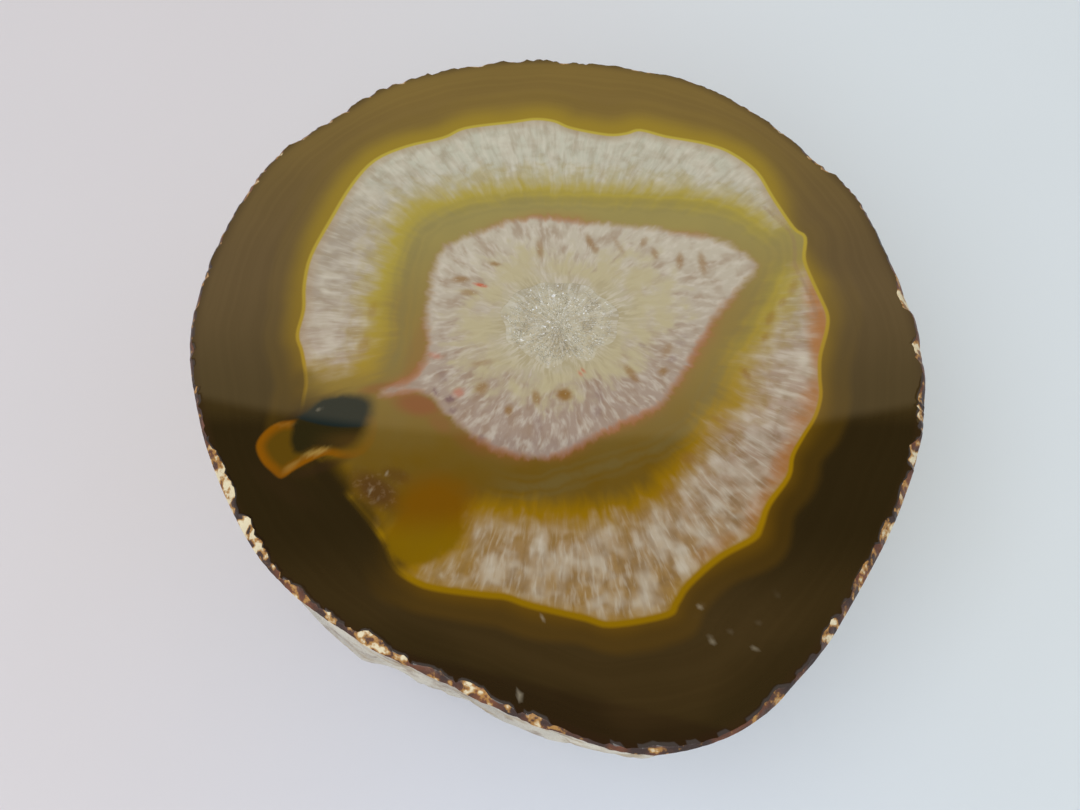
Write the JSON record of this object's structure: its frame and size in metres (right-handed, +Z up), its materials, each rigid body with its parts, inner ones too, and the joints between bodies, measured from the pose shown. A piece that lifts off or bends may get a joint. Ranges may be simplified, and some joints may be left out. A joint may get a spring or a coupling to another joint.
{
  "type": "geode",
  "caption": "Half of a banded agate geode, sawn flat and polished on top, with a shallow crystal-lined pocket and a rough rounded skin below; it lies on a small flat spot.",
  "frame": {"origin": "middle of the small flat spot under the stone that it rests on", "axes": "+Z up, square to the polished face; +Y to the far side of the face as pictured, along its longest extent; +X to the right"},
  "size_m": [0.1207, 0.1311, 0.062],
  "materials": {
    "agate": "polished face with brown, yellow, white and olive bands; matt cream-grey skin below",
    "quartz": "clear to milky crystal faces, glossy"
  },
  "bodies": {
    "root": {"agate_nodule": "agate", "crystal_crust": "quartz"}
  },
  "joints": []
}
